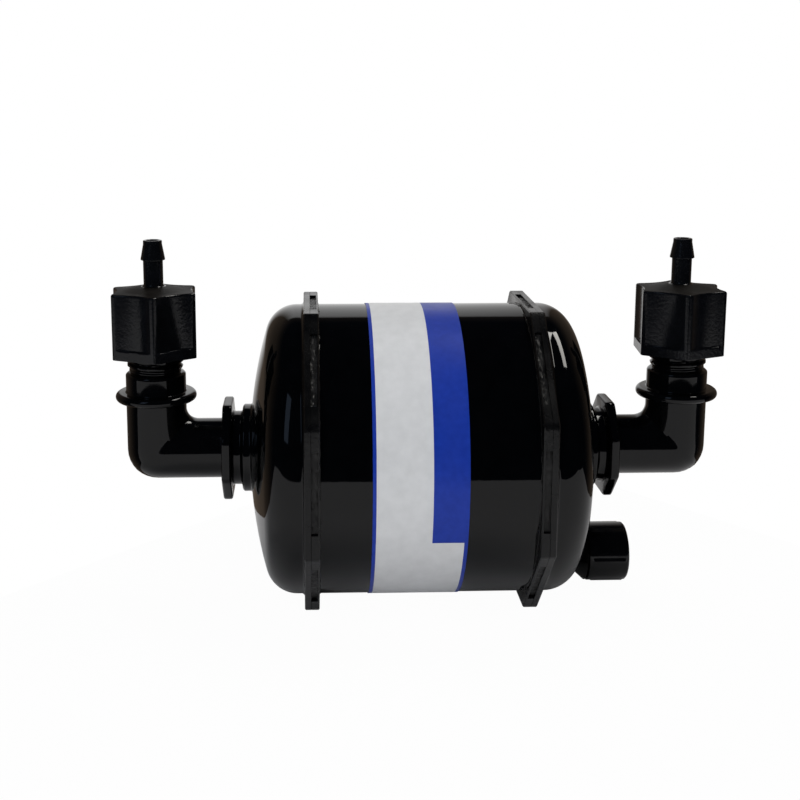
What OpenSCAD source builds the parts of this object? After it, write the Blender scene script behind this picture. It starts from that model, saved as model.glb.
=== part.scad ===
// Inline capsule filter: a welded black shell with two elbow ports, each closed by a hexagonal
// barb nut, and a screw vent low on the inlet end. Millimetres, +Z up. The capsule axis runs along X,
// the inlet end is at +X, and the part stands on the lower flats of its two octagonal weld flanges (Z = 0).

/* [Barrel] */
// Outside diameter of the barrel
barrel_od = 64; // [56:0.5:72]
// Wall thickness of the barrel and of both domed end caps
shell_wall = 2.6; // [2:0.1:3.4]
// Clear length of barrel between the two weld flanges
barrel_len = 44.5; // [40:0.5:70]

/* [Weld flanges] */
// How far a flange flat stands above the barrel
flange_lip = 0.9; // [0.6:0.1:2]
// Width of the flange half that belongs to the barrel
barrel_rim_w = 1.8; // [1.2:0.1:3]
// Width of the flange half that belongs to the end cap
cap_rim_w = 1.4; // [1:0.1:3]
// Length of the pocket in the middle of each flange flat
pocket_len = 17; // [8:0.5:20]
// Depth of the flange pockets
pocket_depth = 0.8; // [0.3:0.1:0.8]
// Lip that closes each pocket towards the barrel
pocket_lip = 0.4; // [0.2:0.1:0.6]
// Fillet where an end cap's dome meets its flange
dome_fillet = 0.7; // [0.3:0.1:0.8]

/* [Domed ends] */
// Straight stretch of the dome outside its flange
dome_skirt = 1.5; // [1.2:0.1:4]
// Radius of the dome's rounded shoulder
knuckle_r = 7; // [5:0.5:9]
// Radius of the dome's shallow crown
crown_r = 98; // [70:1:120]

/* [Ports] */
// Outside diameter of the collar round each port
collar_d = 19.4; // [18:0.2:22]
// How far the collar stands out of the crown
collar_rise = 1.6; // [1:0.1:3]
// Chamfer round the collar's edge
collar_chamfer = 0.4; // [0.1:0.1:0.8]
// Diameter of the neck between the collar and the octagonal flange
neck_d = 16.3; // [15:0.1:17.5]
// Length of that neck
neck_len = 2.2; // [1.5:0.1:4]
// Diameter of the elbow's spigot inside the collar
spigot_d = 13.6; // [12:0.1:14.4]
// Length of the spigot
spigot_len = 4.6; // [3:0.1:6]
// Bonding gap round the spigot
bond_gap = 0.05; // [0.02:0.01:0.1]
// Octagonal port flange, across flats
port_af = 21.4; // [19.6:0.2:24]
// Thickness of the octagonal port flange
port_flange_w = 2.1; // [1.6:0.1:4]

/* [Elbows] */
// Outside diameter of both legs of an elbow
leg_d = 13.2; // [12.6:0.1:14.4]
// Bore through both legs
leg_bore = 8.2; // [6:0.1:9]
// From the octagonal flange to the axis of the upright leg
leg_reach = 14.8; // [12:0.1:24]
// Radius of the inside corner between the legs
crotch_r = 2.6; // [1.5:0.1:4]
// Share of the leg's radius that the rounded web in that corner takes
crotch_web = 0.6; // [0.4:0.05:0.8]
// Height of the bead ring's middle above the capsule axis
bead_rise = 12.2; // [11.2:0.1:18]
// Outside diameter of the bead ring
bead_d = 17.8; // [16:0.1:20]
// Thickness of the bead ring
bead_w = 2; // [1.4:0.1:3]
// Plain collar of the leg above the bead ring
leg_collar = 4.4; // [3:0.1:8]
// Chamfer between the collar and the thread
leg_chamfer = 0.45; // [0.2:0.05:0.7]
// Length of the threaded mouth above the collar
mouth_len = 15; // [12:0.1:20]
// Outside diameter of the elbow's thread
thread_d = 12.3; // [11:0.1:12.6]

/* [Barb nuts] */
// Width of the hexagon across its flats
nut_af = 18; // [17:0.1:21]
// Height of the hexagonal body
nut_h = 14.4; // [12:0.1:18]
// Roof thickness above the gasket
nut_roof = 2.2; // [1.6:0.1:3]
// Running gap round the thread
thread_gap = 0.3; // [0.2:0.05:0.4]
// Plain band left below the hollowed faces
nut_band = 2.2; // [1:0.1:4]
// Depth of the hollow in each face
face_hollow = 0.8; // [0.3:0.1:1]
// Width of the hollow in each face
face_hollow_w = 8.6; // [6:0.1:9]
// Height of the low cone on top of the nut
crown_rise = 0.9; // [0.3:0.1:2]
// Flat ledge left round the foot of that cone
crown_ledge = 1.2; // [0.6:0.1:2]
// Flat ledge left round the foot of the stem
stem_ledge = 1; // [0.4:0.1:1.6]
// Turn of the nuts about their own axes, mirrored left to right
nut_turn = 5.5; // [0:0.5:30]
// Diameter of the stem under the barb
stem_d = 4.3; // [3.6:0.1:6]
// Length of the stem
stem_len = 5.8; // [4:0.1:10]
// Largest diameter of the barb
barb_d = 5.4; // [5:0.1:8]
// Diameter of the barb at its tip
barb_tip_d = 4.1; // [3.6:0.1:4.8]
// Length of the barb's cone
barb_len = 3.5; // [3:0.1:7]
// Length of the straight nose above the cone
barb_nose = 0.8; // [0.5:0.1:2]
// Bore through the barb
barb_bore = 2.6; // [1.5:0.1:3.2]
// Thickness of the gasket under the nut's roof
gasket_t = 1; // [0.8:0.1:2]
// Gap round the gasket's rim
gasket_gap = 0.35; // [0.2:0.05:0.6]

/* [Vent] */
// How far the vent lies below the capsule axis
vent_drop = 25.4; // [24:0.1:25.6]
// Outside diameter of the vent cap
vent_d = 13; // [12:0.1:13.6]
// Length of the vent cap
vent_len = 9; // [7:0.1:12]
// How far the vent's seat stands beyond the crown's top
vent_boss = 0.8; // [0.4:0.1:3]
// Diameter of the boss where it leaves the dome
vent_boss_d = 9; // [8:0.1:10]
// Length over which the boss flares to the width of the vent cap
vent_flare = 2.2; // [1:0.1:2.6]
// Diameter of the vent's threaded spigot
vent_thread_d = 8; // [7:0.1:9]
// Length of the vent's threaded spigot
vent_spigot = 5; // [3.6:0.1:6]
// Bore of the vent
vent_bore = 3; // [2:0.1:4]
// Thickness of the vent's sealing washer
vent_seal_t = 1; // [0.8:0.1:2]
// Gap between the vent cap's rim and the boss
vent_rim_gap = 0.3; // [0.2:0.05:0.6]
// Number of grip ribs on the vent cap
vent_ribs = 6; // [4:1:10]
// Diameter of each grip rib
vent_rib_d = 1; // [0.6:0.1:1.4]
// How far a rib stands proud of the cap
vent_rib_rise = 0.2; // [0.1:0.05:0.4]
// How far the ribs stop short of the cap's two ends
vent_rib_inset = 0.8; // [0.6:0.1:1.5]
// Chamfer round the outer end of the vent cap
vent_chamfer = 0.5; // [0.2:0.1:0.5]

/* [Label] */
// Width of the label along the barrel
label_w = 19.5; // [10:0.5:30]
// How far the label's middle lies towards the outlet end
label_shift = 1.95; // [0:0.05:4]
// Thickness of the label
label_t = 0.12; // [0.08:0.01:0.2]
// Gap between the label and the barrel, filled by its adhesive
label_glue = 0.03; // [0.02:0.01:0.05]
// Arc that the label covers, in degrees
label_arc = 320; // [240:1:350]

/* [Filter element] */
// Gap between the barrel's bore and the element's end discs
element_gap = 1.4; // [1:0.1:3]
// Thickness of each end disc
disc_t = 2; // [1.5:0.1:3]
// Depth to which the tubes are set into each end disc
disc_socket = 0.8; // [0.4:0.1:1.2]
// Rim of the end discs outside the cage
disc_rim = 0.6; // [0.4:0.1:1.5]
// Wall of the outer cage
cage_wall = 1; // [0.8:0.1:1.6]
// Outside diameter of the core tube
core_d = 18; // [16.6:0.2:22]
// Wall of the core tube
core_wall = 1.4; // [1:0.1:2]
// Number of pleats
pleats = 40; // [24:1:44]
// Thickness of the pleated sheet
sheet_t = 0.4; // [0.3:0.05:0.45]
// Clear gap between the pleats and the tubes
pleat_gap = 0.3; // [0.2:0.05:0.6]
// Rows of windows along both tubes
window_rows = 4; // [3:1:5]
// Length of each window along the tubes
window_len = 8; // [4:0.5:9]
// Windows round the cage
cage_windows = 10; // [6:1:12]
// Width of the cage's windows
cage_window_w = 9; // [5:0.5:10]
// Windows round the core tube
core_windows = 6; // [4:1:6]
// Width of the core tube's windows
core_window_w = 4; // [3:0.5:5]
// Outside diameter of the element's nozzle
nozzle_d = 13.2; // [12:0.1:14]
// Bore of the element's nozzle
nozzle_bore = 8.2; // [6:0.1:9]
// Length of the nozzle beyond its disc
nozzle_len = 6.4; // [5:0.1:9]
// Gap between the nozzle's end and the elbow's spigot
nozzle_end_gap = 1.7; // [1:0.1:3]
// Gap between the nozzle and its socket
nozzle_gap = 0.2; // [0.1:0.05:0.3]
// Wall of the nozzle's socket in the outlet end cap
socket_wall = 1.6; // [1.2:0.1:2]
// Thickness of the nozzle's sealing ring
ring_t = 1.8; // [1.4:0.1:2.2]
// From the nozzle's end to the middle of its sealing ring
ring_setback = 2.6; // [2:0.1:3.6]
// Room on each side of the sealing ring in its groove
ring_side_gap = 0.2; // [0.1:0.05:0.3]

/* [Hidden] */

// Smoothness of round faces, and how far a cut runs past what it cuts
$fn = 96;
ring_facets = 48;
cut = 1;

// Barrel, flanges and the height of the capsule axis
barrel_r = barrel_od / 2;
bore_r = barrel_r - shell_wall;
flange_in_r = barrel_r + flange_lip;
axis_z = flange_in_r;
weld_x = barrel_len / 2 + barrel_rim_w;
cap_face_x = weld_x + cap_rim_w;

// Dome: the knuckle's centre, the crown's centre on the axis and the crown's top
knuckle_x = cap_face_x + dome_skirt;
knuckle_cr = barrel_r - knuckle_r;
crown_x = knuckle_x - sqrt(pow(crown_r - knuckle_r, 2) - pow(knuckle_cr, 2));
apex_x = crown_x + crown_r;
blend_angle = asin(knuckle_cr / (crown_r - knuckle_r));

// Port: collar, neck, octagonal flange and elbow, counted outwards
collar_r = collar_d / 2;
neck_x = apex_x + collar_rise;
flange_x = neck_x + neck_len;
leg_start_x = flange_x + port_flange_w;
leg_x = leg_start_x + leg_reach;
leg_r = leg_d / 2;
spigot_end_x = neck_x - spigot_len;
neck_fillet = neck_len / 4;

// Upright leg, counted upwards from the capsule axis
bead_top = bead_rise + bead_w / 2;
collar_top = bead_top + leg_collar;
mouth_z = collar_top + mouth_len;

// Barb nut, counted downwards from its roof and upwards to the barb's tip
gasket_z = mouth_z;
roof_z = gasket_z + gasket_t;
nut_top = roof_z + nut_roof;
nut_bottom = nut_top - nut_h;
nut_bore_r = thread_d / 2 + thread_gap;
nut_corner_r = nut_af / 2 / cos(30);
stem_z = nut_top + crown_rise;
barb_z = stem_z + stem_len;
nose_z = barb_z + barb_len;
tip_z = nose_z + barb_nose;
hollow_r = (pow(face_hollow_w / 2, 2) + pow(face_hollow, 2)) / (2 * face_hollow);
crown_foot_r = nut_af / 2 - face_hollow - crown_ledge;
crown_top_r = stem_d / 2 + stem_ledge;

// Vent, counted outwards along X
vent_seat_x = apex_x + vent_boss;
vent_cap_x = vent_seat_x + vent_rim_gap;
vent_end_x = vent_cap_x + vent_len;
vent_spigot_x = vent_seat_x + vent_spigot;
vent_seal_x = vent_spigot_x + vent_seal_t;
vent_bore_r = vent_thread_d / 2 + thread_gap;

// Filter element, which fills the shell between the two ports
disc_r = bore_r - element_gap;
nozzle_end_x = spigot_end_x - nozzle_end_gap;
disc_x = nozzle_end_x - nozzle_len - disc_t;
pack_len = 2 * disc_x;
cage_r = disc_r - disc_rim;
cage_in_r = cage_r - cage_wall;
core_r = core_d / 2;
core_in_r = core_r - core_wall;
tube_half = disc_x + disc_socket;
window_pitch = pack_len / window_rows;
nozzle_r = nozzle_d / 2;
socket_r = nozzle_r + nozzle_gap;
ring_x = nozzle_end_x - ring_setback;
ring_groove_w = ring_t + 2 * ring_side_gap;
ring_groove_r = socket_r - ring_t;

// Points of an arc about (centre_r, centre_x), from angle start to angle end, in steps
function arc(centre_r, centre_x, radius, start, end, steps) = [
    for (i = [0 : steps])
        let (angle = start + (end - start) * i / steps)
        [centre_r + radius * cos(angle), centre_x + radius * sin(angle)]
];

// Point at a radius and an angle
function polar(radius, angle) = [radius * cos(angle), radius * sin(angle)];

// Turns a shape built about Z so that it runs along the capsule axis, towards +X
module on_axis() {
    translate([0, 0, axis_z]) rotate([0, 90, 0]) children();
}

// Mirrors a shape from the inlet end to the outlet end
module at_outlet() {
    mirror([1, 0, 0]) children();
}

// A flat plate with eight sides, one of them level, and the given width across flats
module octagon(across_flats, thickness) {
    rotate([0, 0, 22.5]) cylinder(d = across_flats / cos(22.5), h = thickness, $fn = 8);
}

// Half of a weld flange at the inlet end, with a pocket in the middle of each flat
module pocketed_rim() {
    translate([0, 0, barrel_len / 2]) difference() {
        octagon(2 * flange_in_r, barrel_rim_w);
        for (side = [0 : 7])
            rotate([0, 0, 45 * side])
                translate([flange_in_r - pocket_depth, -pocket_len / 2, pocket_lip])
                    cube([pocket_depth + cut, pocket_len, barrel_rim_w]);
    }
}

module barrel() {
    color([0.06, 0.06, 0.06]) on_axis() difference() {
        union() {
            translate([0, 0, -weld_x]) cylinder(r = barrel_r, h = 2 * weld_x);
            pocketed_rim();
            mirror([0, 0, 1]) pocketed_rim();
        }
        translate([0, 0, -weld_x - cut]) cylinder(r = bore_r, h = 2 * (weld_x + cut));
    }
}

// Dome surface, offset inwards from the outside of the shell
function dome_curve(inset) = concat(
    arc(knuckle_cr, knuckle_x, knuckle_r - inset, 0, 90 - blend_angle, 12),
    [
        for (i = [1 : 16])
            let (angle = blend_angle * (1 - i / 16))
            [(crown_r - inset) * sin(angle), crown_x + (crown_r - inset) * cos(angle)]
    ]
);

// Closed dome with its flange half and port collar, before the port is bored
module cap_shell() {
    translate([0, 0, weld_x]) octagon(2 * flange_in_r, cap_rim_w);
    rotate_extrude() polygon(concat(
        [[0, weld_x], [barrel_r + dome_fillet, weld_x]],
        arc(barrel_r + dome_fillet, cap_face_x + dome_fillet, dome_fillet, 270, 180, 4),
        dome_curve(0)
    ));
    rotate_extrude() polygon([
        [0, knuckle_x],
        [collar_r, knuckle_x],
        [collar_r, neck_x - collar_chamfer],
        [collar_r - collar_chamfer, neck_x],
        [0, neck_x],
    ]);
}

// Hollow of the dome, from the weld plane inwards
module cap_hollow() {
    rotate_extrude() polygon(concat([[0, weld_x - cut], [bore_r, weld_x - cut]], dome_curve(shell_wall)));
}

// Bore of the port, stepped to take the elbow's spigot
module port_bore() {
    translate([0, 0, spigot_end_x]) cylinder(r = spigot_d / 2 + bond_gap, h = spigot_len + cut);
    translate([0, 0, weld_x]) cylinder(d = leg_bore, h = neck_x - weld_x);
}

// Boss under the vent cap: a plain root that flares to the seat
module vent_boss_body() {
    rotate_extrude() polygon([
        [0, knuckle_x],
        [vent_boss_d / 2, knuckle_x],
        [vent_boss_d / 2, vent_seat_x - vent_flare],
        [vent_d / 2, vent_seat_x],
        [0, vent_seat_x],
    ]);
}

// Places a shape on the axis of the vent
module at_vent() {
    translate([vent_drop, 0, 0]) children();
}

module inlet_end_cap() {
    color([0.06, 0.06, 0.06]) on_axis() difference() {
        union() {
            difference() {
                union() {
                    cap_shell();
                    at_vent() vent_boss_body();
                }
                cap_hollow();
            }
            port_seat();
            at_vent() translate([0, 0, vent_seat_x - cut]) cylinder(d = vent_thread_d, h = vent_spigot + cut);
        }
        port_bore();
        at_vent() translate([0, 0, weld_x]) cylinder(d = vent_bore, h = vent_spigot_x - weld_x + cut);
    }
}

// Thickened ring inside the crown, in which the spigot seats
module port_seat() {
    translate([0, 0, spigot_end_x - shell_wall]) cylinder(r = collar_r, h = spigot_len);
}

module outlet_end_cap() {
    color([0.06, 0.06, 0.06]) at_outlet() on_axis() difference() {
        union() {
            difference() {
                cap_shell();
                cap_hollow();
            }
            port_seat();
            translate([0, 0, disc_x + disc_t + nozzle_gap])
                cylinder(r = socket_r + socket_wall, h = spigot_end_x - disc_x - disc_t - nozzle_gap);
        }
        port_bore();
        translate([0, 0, disc_x]) cylinder(r = socket_r, h = nozzle_end_x + nozzle_gap - disc_x);
    }
}

module label() {
    gap_side = 90;
    color([0.78, 0.79, 0.8]) on_axis() translate([0, 0, -label_shift - label_w / 2])
        rotate([0, 0, gap_side + (360 - label_arc) / 2]) rotate_extrude(angle = label_arc)
            translate([barrel_r + label_glue, 0]) square([label_t, label_w]);
}

// Neck between the collar and the octagonal flange, waisted by two fillets
module port_neck() {
    rotate_extrude() polygon(concat(
        [[0, neck_x]],
        arc(neck_d / 2 + neck_fillet, neck_x + neck_fillet, neck_fillet, 270, 180, 4),
        arc(neck_d / 2 + neck_fillet, flange_x - neck_fillet, neck_fillet, 180, 90, 4),
        [[neck_d / 2 + neck_fillet, flange_x + cut], [0, flange_x + cut]]
    ));
}

// Outside of the upright leg, revolved about its own axis
module upright_leg() {
    nose = bead_d / 2 - bead_w / 2;
    rotate_extrude() polygon(concat(
        [[0, 0], [leg_r, 0], [leg_r, bead_rise - bead_w / 2]],
        arc(nose, bead_rise, bead_w / 2, -90, 90, 10),
        [
            [leg_r, bead_top],
            [leg_r, collar_top - leg_chamfer],
            [thread_d / 2, collar_top],
            [thread_d / 2, mouth_z - leg_chamfer],
            [thread_d / 2 - leg_chamfer, mouth_z],
            [0, mouth_z],
        ]
    ));
}

// Swept web that rounds the inside corner between the legs
module crotch_bend() {
    centre = leg_r + crotch_r;
    web_r = crotch_web * leg_r;
    translate([leg_x - centre, 0, axis_z + centre]) rotate([90, 0, 0]) rotate([0, 0, -90])
        rotate_extrude(angle = 90) translate([crotch_r + web_r + bond_gap, 0]) circle(r = web_r);
}

// One elbow: spigot, neck, octagonal flange, level leg, rounded corner and threaded upright leg
module elbow() {
    difference() {
        union() {
            on_axis() {
                translate([0, 0, spigot_end_x]) cylinder(d = spigot_d, h = spigot_len + cut);
                port_neck();
                translate([0, 0, flange_x]) octagon(port_af, port_flange_w);
                translate([0, 0, flange_x]) cylinder(r = leg_r, h = leg_x - flange_x);
            }
            translate([leg_x, 0, axis_z]) sphere(r = leg_r - bond_gap);
            translate([leg_x, 0, axis_z]) upright_leg();
            crotch_bend();
        }
        on_axis() translate([0, 0, spigot_end_x - cut]) cylinder(d = leg_bore, h = leg_x - spigot_end_x + cut);
        translate([leg_x, 0, axis_z]) cylinder(d = leg_bore, h = mouth_z + cut);
    }
}

module inlet_elbow() {
    color([0.05, 0.05, 0.05]) elbow();
}

module outlet_elbow() {
    color([0.05, 0.05, 0.05]) at_outlet() elbow();
}

// Hexagonal nut body with a hollow in each face above a plain band
module hollowed_hexagon() {
    difference() {
        translate([0, 0, nut_bottom]) cylinder(r = nut_corner_r, h = nut_h, $fn = 6);
        for (side = [0 : 5])
            rotate([0, 0, 30 + 60 * side])
                translate([nut_af / 2 - face_hollow + hollow_r, 0, nut_bottom + nut_band])
                    cylinder(r = hollow_r, h = nut_h);
    }
}

// Low cone on top of the nut, stem and hose barb, from the roof's underside to the tip
module hose_barb() {
    rotate_extrude() polygon([
        [0, roof_z],
        [crown_foot_r, roof_z],
        [crown_foot_r, nut_top],
        [crown_top_r, stem_z],
        [stem_d / 2, stem_z],
        [stem_d / 2, barb_z],
        [barb_d / 2, barb_z],
        [barb_tip_d / 2, nose_z],
        [barb_tip_d / 2, tip_z],
        [0, tip_z],
    ]);
}

// Nut and hose barb, moulded in one piece
module barb_nut() {
    difference() {
        union() {
            hollowed_hexagon();
            hose_barb();
        }
        translate([0, 0, nut_bottom - cut]) cylinder(r = nut_bore_r, h = roof_z - nut_bottom + cut);
        translate([0, 0, roof_z - cut]) cylinder(d = barb_bore, h = tip_z - roof_z + 2 * cut);
    }
}

// Flat ring gasket that the nut presses on the elbow's mouth
module nut_gasket() {
    translate([0, 0, gasket_z]) difference() {
        cylinder(r = nut_bore_r - gasket_gap, h = gasket_t);
        translate([0, 0, -cut]) cylinder(d = leg_bore, h = gasket_t + 2 * cut);
    }
}

// Puts a shape on the upright leg's axis, with the nut's own turn
module on_leg() {
    translate([leg_x, 0, axis_z]) rotate([0, 0, 30 - nut_turn]) children();
}

module inlet_barb_nut() {
    color([0.11, 0.11, 0.11]) on_leg() barb_nut();
}

module outlet_barb_nut() {
    color([0.11, 0.11, 0.11]) at_outlet() on_leg() barb_nut();
}

module inlet_nut_gasket() {
    color([0.2, 0.2, 0.2]) on_leg() nut_gasket();
}

module outlet_nut_gasket() {
    color([0.2, 0.2, 0.2]) at_outlet() on_leg() nut_gasket();
}

module vent_cap() {
    color([0.08, 0.08, 0.08]) on_axis() at_vent() difference() {
        union() {
            rotate_extrude() polygon([
                [0, vent_cap_x],
                [vent_d / 2, vent_cap_x],
                [vent_d / 2, vent_end_x - vent_chamfer],
                [vent_d / 2 - vent_chamfer, vent_end_x],
                [0, vent_end_x],
            ]);
            for (rib = [0 : vent_ribs - 1])
                rotate([0, 0, 90 + 360 * rib / vent_ribs])
                    translate([(vent_d - vent_rib_d) / 2 + vent_rib_rise, 0, vent_cap_x + vent_rib_inset])
                        cylinder(d = vent_rib_d, h = vent_len - 2 * vent_rib_inset);
        }
        translate([0, 0, vent_cap_x - cut]) cylinder(r = vent_bore_r, h = vent_seal_x - vent_cap_x + cut);
    }
}

module vent_seal() {
    color([0.2, 0.2, 0.2]) on_axis() at_vent() translate([0, 0, vent_spigot_x])
        cylinder(r = vent_bore_r - gasket_gap, h = vent_seal_t);
}

// Edge of the pleated sheet that faces the cage: blunt tips and sharp folds
function upstream_edge(tip_r, fold_r) = [
    for (i = [0 : pleats - 1])
        let (middle = 360 * i / pleats)
        let (half_tip = asin(sheet_t / tip_r))
        each [
            polar(tip_r, middle - half_tip),
            polar(tip_r, middle + half_tip),
            polar(fold_r + sheet_t, middle + 180 / pleats),
        ]
];

// Edge of the pleated sheet that faces the core: sharp tips and blunt folds
function downstream_edge(tip_r, fold_r) = [
    for (i = [0 : pleats - 1])
        let (middle = 360 * i / pleats)
        let (half_fold = asin(sheet_t / fold_r))
        each [
            polar(tip_r - sheet_t, middle),
            polar(fold_r, middle + 180 / pleats - half_fold),
            polar(fold_r, middle + 180 / pleats + half_fold),
        ]
];

module pleated_media() {
    tip_r = cage_in_r - pleat_gap;
    fold_r = core_r + pleat_gap;
    color([0.93, 0.93, 0.9]) on_axis() translate([0, 0, -disc_x]) linear_extrude(pack_len)
        difference() {
            polygon(upstream_edge(tip_r, fold_r));
            polygon(downstream_edge(tip_r, fold_r));
        }
}

// A tube along the capsule axis with rows of windows cut through it
module windowed_tube(outer_r, inner_r, windows, window_w) {
    difference() {
        translate([0, 0, -tube_half]) cylinder(r = outer_r, h = 2 * tube_half);
        translate([0, 0, -tube_half - cut]) cylinder(r = inner_r, h = 2 * (tube_half + cut));
        for (row = [0 : window_rows - 1], side = [0 : windows - 1])
            rotate([0, 0, 360 * side / windows])
                translate([inner_r - cut, -window_w / 2, window_pitch * (row + 0.5) - (pack_len + window_len) / 2])
                    cube([outer_r - inner_r + 2 * cut, window_w, window_len]);
    }
}

module core_tube() {
    color([0.9, 0.9, 0.88]) on_axis() windowed_tube(core_r, core_in_r, core_windows, core_window_w);
}

module outer_cage() {
    color([0.9, 0.9, 0.88]) on_axis() windowed_tube(cage_r, cage_in_r, cage_windows, cage_window_w);
}

// End disc with ring-shaped sockets for the cage and the core
module end_disc() {
    translate([0, 0, disc_x]) difference() {
        cylinder(r = disc_r, h = disc_t);
        translate([0, 0, -cut]) tube_socket(cage_r, cage_in_r);
        translate([0, 0, -cut]) tube_socket(core_r, core_in_r);
    }
}

module tube_socket(outer_r, inner_r) {
    difference() {
        cylinder(r = outer_r + bond_gap, h = disc_socket + cut);
        translate([0, 0, -cut]) cylinder(r = inner_r - bond_gap, h = disc_socket + 3 * cut);
    }
}

module closed_end_disc() {
    color([0.9, 0.9, 0.88]) on_axis() end_disc();
}

module open_end_disc() {
    color([0.9, 0.9, 0.88]) at_outlet() on_axis() difference() {
        union() {
            end_disc();
            translate([0, 0, disc_x + disc_t - cut]) cylinder(r = nozzle_r, h = nozzle_len + cut);
        }
        translate([0, 0, disc_x - cut]) cylinder(d = nozzle_bore, h = disc_t + nozzle_len + 2 * cut);
        translate([0, 0, ring_x - ring_groove_w / 2]) difference() {
            cylinder(r = nozzle_r + cut, h = ring_groove_w);
            translate([0, 0, -cut]) cylinder(r = ring_groove_r - bond_gap, h = ring_groove_w + 2 * cut);
        }
    }
}

module nozzle_ring() {
    color([0.15, 0.15, 0.15]) at_outlet() on_axis() translate([0, 0, ring_x])
        rotate_extrude() translate([ring_groove_r + ring_t / 2, 0])
            circle(d = ring_t - 2 * bond_gap, $fn = ring_facets);
}

barrel();
inlet_end_cap();
outlet_end_cap();
label();
inlet_elbow();
outlet_elbow();
inlet_barb_nut();
outlet_barb_nut();
inlet_nut_gasket();
outlet_nut_gasket();
vent_cap();
vent_seal();
pleated_media();
core_tube();
outer_cage();
closed_end_disc();
open_end_disc();
nozzle_ring();
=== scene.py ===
import math

import bmesh
import bpy
from mathutils import Matrix, Vector, noise


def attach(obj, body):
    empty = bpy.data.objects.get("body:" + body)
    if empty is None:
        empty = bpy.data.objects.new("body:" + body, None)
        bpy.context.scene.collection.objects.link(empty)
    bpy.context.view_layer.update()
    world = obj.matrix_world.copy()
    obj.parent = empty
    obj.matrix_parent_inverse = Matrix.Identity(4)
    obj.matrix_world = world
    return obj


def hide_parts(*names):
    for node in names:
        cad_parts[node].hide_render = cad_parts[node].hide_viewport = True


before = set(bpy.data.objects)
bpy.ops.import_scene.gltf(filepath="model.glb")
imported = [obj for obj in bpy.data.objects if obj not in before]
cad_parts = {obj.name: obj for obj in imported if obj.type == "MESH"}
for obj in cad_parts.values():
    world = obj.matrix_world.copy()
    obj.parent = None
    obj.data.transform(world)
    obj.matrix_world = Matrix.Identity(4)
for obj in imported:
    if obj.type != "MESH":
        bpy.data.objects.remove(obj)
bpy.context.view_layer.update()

MM = 0.001

# Shell, in millimetres, as in the CAD source
AXIS_Z = 32.9
BARREL_R = 32.0
BORE_R = 29.4
BARREL_HALF = 22.25
WELD_X = 24.05
CAP_FACE_X = 25.45
FLAT_R = 32.9
POCKET_HALF = 8.5
POCKET_DEPTH = 0.8
POCKET_LIP = 0.4
SHELL_WALL = 2.6
DOME_FILLET = 0.7
KNUCKLE_X = 26.95
KNUCKLE_R = 7.0
CROWN_R = 98.0
KNUCKLE_CR = BARREL_R - KNUCKLE_R
CROWN_X = KNUCKLE_X - math.sqrt((CROWN_R - KNUCKLE_R) ** 2 - KNUCKLE_CR ** 2)
APEX_X = CROWN_X + CROWN_R
BLEND = math.asin(KNUCKLE_CR / (CROWN_R - KNUCKLE_R))

# Ports and elbows
COLLAR_R = 9.7
NECK_X = APEX_X + 1.6
SPIGOT_END_X = NECK_X - 4.6
SPIGOT_R = 6.8
PORT_HOLE_R = 6.85
LEG_BORE_R = 4.1
SOCKET_R = 6.8
SOCKET_OUT_R = 8.4
SOCKET_FLOOR_X = SPIGOT_END_X - 1.5
SOCKET_START_X = SPIGOT_END_X - 7.9
NECK_R = 8.15
NECK_FILLET = 0.55
FLANGE_X = NECK_X + 2.2
LEG_START_X = FLANGE_X + 2.1
PORT_FLAT_R = 10.7
PORT_CORNER_R = 11.47
LEG_R = 6.6
LEG_X = LEG_START_X + 14.8
CROTCH_R = 2.6
BEND_R = LEG_R + CROTCH_R
BEND_STEPS = 24
BORE_MEET = 1.0
BEAD_Z = 12.2
BEAD_HALF = 1.0
BEAD_R = 8.9
COLLAR_TOP = 17.6
MOUTH_Z = 32.6
THREAD_R = 6.15
THREAD_DEPTH = 0.55
THREAD_PITCH = 1.5
THREAD_START = COLLAR_TOP + 0.1
THREAD_END = MOUTH_Z - 0.6
THREAD_STEP = 0.15
THREAD_FLATTEN = 1.35

# Barb nuts; the cavity is a little wider and deeper than in the source, to turn clear of the gasket
NUT_FLAT_R = 9.0
NUT_BORE_R = 6.5
NUT_BOTTOM = 21.4
NUT_TOP = 35.8
NUT_ROOF = 33.64
NUT_BAND = 2.2
HOLLOW = 0.8
HOLLOW_HALF = 4.3
HOLLOW_R = (HOLLOW_HALF ** 2 + HOLLOW ** 2) / (2 * HOLLOW)
CROWN_FOOT_R = 7.0
CROWN_TOP_R = 3.15
STEM_Z = 36.7
STEM_R = 2.15
BARB_Z = 42.5
BARB_R = 2.7
NOSE_Z = 46.0
NOSE_R = 2.05
TIP_Z = 46.8
BARB_BORE_R = 1.3
NUT_TURN = 24.5
NUT_CROWN_STEPS = 5
NUT_EDGE_LEAD = 0.2

# Vent
VENT_DROP = 25.4
VENT_R = 6.5
VENT_SEAT_X = APEX_X + 0.8
VENT_CAP_X = VENT_SEAT_X + 0.3
VENT_END_X = VENT_CAP_X + 9.0
VENT_SPIGOT_X = VENT_SEAT_X + 5.0
VENT_ROOF_X = VENT_SPIGOT_X + 1.0
VENT_THREAD_R = 4.0
VENT_THREAD_DEPTH = 0.4
VENT_THREAD_PITCH = 1.25
VENT_THREAD_START = VENT_SEAT_X + 0.3
VENT_THREAD_END = VENT_SPIGOT_X - 0.4
VENT_THREAD_STEPS = 36
VENT_BORE_R = 1.5
VENT_CAVITY_R = 4.3
VENT_BOSS_R = 4.5
VENT_FLARE = 2.2
VENT_RIBS = 6
VENT_RIB_START = 30
VENT_RIB_R = 0.5
VENT_RIB_RISE = 0.2
VENT_RIB_INSET = 0.8
VENT_RIB_RAMP = 0.2
VENT_MIDDLE_R = 0.4

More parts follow.
